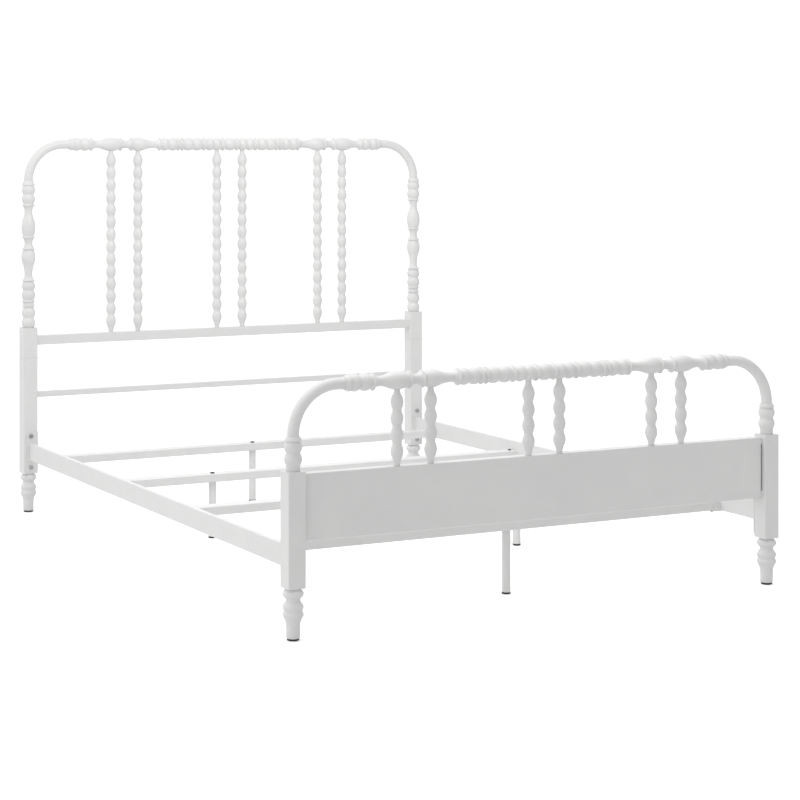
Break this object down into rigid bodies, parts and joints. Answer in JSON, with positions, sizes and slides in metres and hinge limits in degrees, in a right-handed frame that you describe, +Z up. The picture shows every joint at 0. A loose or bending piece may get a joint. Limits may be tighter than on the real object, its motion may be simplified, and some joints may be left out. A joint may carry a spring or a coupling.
{
  "type": "spindle bed frame",
  "caption": "Metal spindle bed frame: arched beaded headboard, low arched footboard with a flat panel, bolted side rails and slats on support legs.",
  "frame": {"origin": "on the floor under the middle of the bed", "axes": "+Z up, +Y towards the headboard, -Y towards the footboard, +X to the right seen from the foot"},
  "size_m": [1.6152, 2.1572, 1.3185],
  "materials": {
    "white_tube": "semi-gloss white powder coat on steel tube and sheet",
    "white_castings": "semi-gloss white powder coat on hollow castings",
    "black_plastic": "matte black moulded plastic",
    "dark_bolts": "dark oxide bolts and nuts",
    "bare_steel": "plain steel inner sleeves, out of sight"
  },
  "bodies": {
    "bed_frame": {"corner_glides": "black_plastic", "footboard_bottom_bar": "white_tube", "footboard_corner_tube_left": "white_tube", "footboard_corner_tube_right": "white_tube", "footboard_panel_sheets": "white_tube", "footboard_post_left": "white_tube", "footboard_post_right": "white_tube", "footboard_spindles_centre": "white_castings", "footboard_spindles_left": "white_castings", "footboard_spindles_right": "white_castings", "footboard_top_bar": "white_tube", "footboard_turned_column_left": "white_castings", "footboard_turned_column_right": "white_castings", "footboard_turned_rail_centre": "white_castings", "footboard_turned_rail_left": "white_castings", "footboard_turned_rail_right": "white_castings", "headboard_corner_tube_left": "white_tube", "headboard_corner_tube_right": "white_tube", "headboard_lower_crossbar": "white_tube", "headboard_lower_post_left": "white_tube", "headboard_lower_post_right": "white_tube", "headboard_post_joiner_bolts": "dark_bolts", "headboard_post_joiners": "bare_steel", "headboard_spindles_centre": "white_castings", "headboard_spindles_left": "white_castings", "headboard_spindles_right": "white_castings", "headboard_turned_column_left": "white_castings", "headboard_turned_column_right": "white_castings", "headboard_turned_rail_centre": "white_castings", "headboard_turned_rail_left": "white_castings", "headboard_turned_rail_right": "white_castings", "headboard_upper_crossbar": "white_tube", "headboard_upper_post_left": "white_tube", "headboard_upper_post_right": "white_tube", "side_rail_bracket_bolts": "dark_bolts", "side_rail_brackets": "white_tube", "side_rail_joiner_bolts": "dark_bolts", "side_rail_joiners": "bare_steel", "side_rail_left_foot_half": "white_tube", "side_rail_left_head_half": "white_tube", "side_rail_right_foot_half": "white_tube", "side_rail_right_head_half": "white_tube", "slat_1_head": "white_tube", "slat_2": "white_tube", "slat_3": "white_tube", "slat_4_foot": "white_tube", "slat_end_bolts_and_nuts": "dark_bolts", "slat_saddles": "white_tube", "support_leg_bolts": "dark_bolts", "support_legs": "white_tube", "turned_foot_foot_left": "white_castings", "turned_foot_foot_right": "white_castings", "turned_foot_head_left": "white_castings", "turned_foot_head_right": "white_castings"},
    "levelling_foot_foot_centre": {"levelling_foot_foot_centre": "black_plastic"},
    "levelling_foot_head_centre": {"levelling_foot_head_centre": "black_plastic"},
    "levelling_foot_lower_left": {"levelling_foot_lower_left": "black_plastic"},
    "levelling_foot_lower_right": {"levelling_foot_lower_right": "black_plastic"},
    "levelling_foot_upper_left": {"levelling_foot_upper_left": "black_plastic"},
    "levelling_foot_upper_right": {"levelling_foot_upper_right": "black_plastic"}
  },
  "joints": [
    {"name": "levelling_screw_foot_centre", "type": "slide", "parent": "bed_frame", "child": "levelling_foot_foot_centre", "axis": [0, 0, -1], "range_m": [0, 0.015]},
    {"name": "levelling_screw_head_centre", "type": "slide", "parent": "bed_frame", "child": "levelling_foot_head_centre", "axis": [0, 0, -1], "range_m": [0, 0.015]},
    {"name": "levelling_screw_lower_left", "type": "slide", "parent": "bed_frame", "child": "levelling_foot_lower_left", "axis": [0, 0, -1], "range_m": [0, 0.015]},
    {"name": "levelling_screw_lower_right", "type": "slide", "parent": "bed_frame", "child": "levelling_foot_lower_right", "axis": [0, 0, -1], "range_m": [0, 0.015]},
    {"name": "levelling_screw_upper_left", "type": "slide", "parent": "bed_frame", "child": "levelling_foot_upper_left", "axis": [0, 0, -1], "range_m": [0, 0.015]},
    {"name": "levelling_screw_upper_right", "type": "slide", "parent": "bed_frame", "child": "levelling_foot_upper_right", "axis": [0, 0, -1], "range_m": [0, 0.015]}
  ]
}
